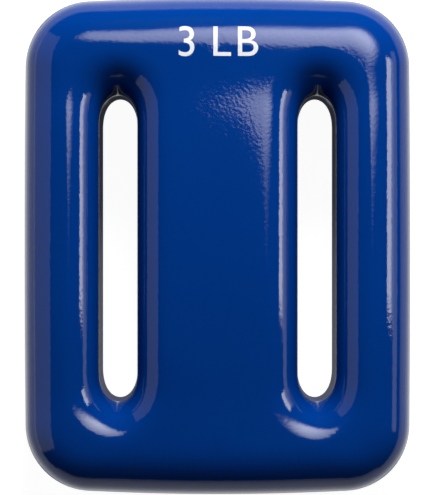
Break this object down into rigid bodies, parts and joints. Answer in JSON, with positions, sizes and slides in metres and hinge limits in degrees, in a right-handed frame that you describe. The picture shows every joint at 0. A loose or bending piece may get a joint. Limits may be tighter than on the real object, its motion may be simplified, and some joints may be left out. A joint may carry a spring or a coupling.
{
  "type": "coated diving weight",
  "caption": "Slotted diving belt weight: a rounded rectangular lead block under a glossy blue dipped coating, with long belt slots flared toward the front.",
  "frame": {"origin": "middle of the flat back, which the weight lies on", "axes": "+Z out of the rounded front, +Y along the belt slots, +X across both slots"},
  "size_m": [0.073, 0.0936, 0.028],
  "materials": {
    "cast_lead": "dull grey as-cast lead",
    "blue_vinyl": "glossy dip-moulded PVC"
  },
  "bodies": {
    "root": {"lead_core": "cast_lead", "coating": "blue_vinyl"}
  },
  "joints": []
}
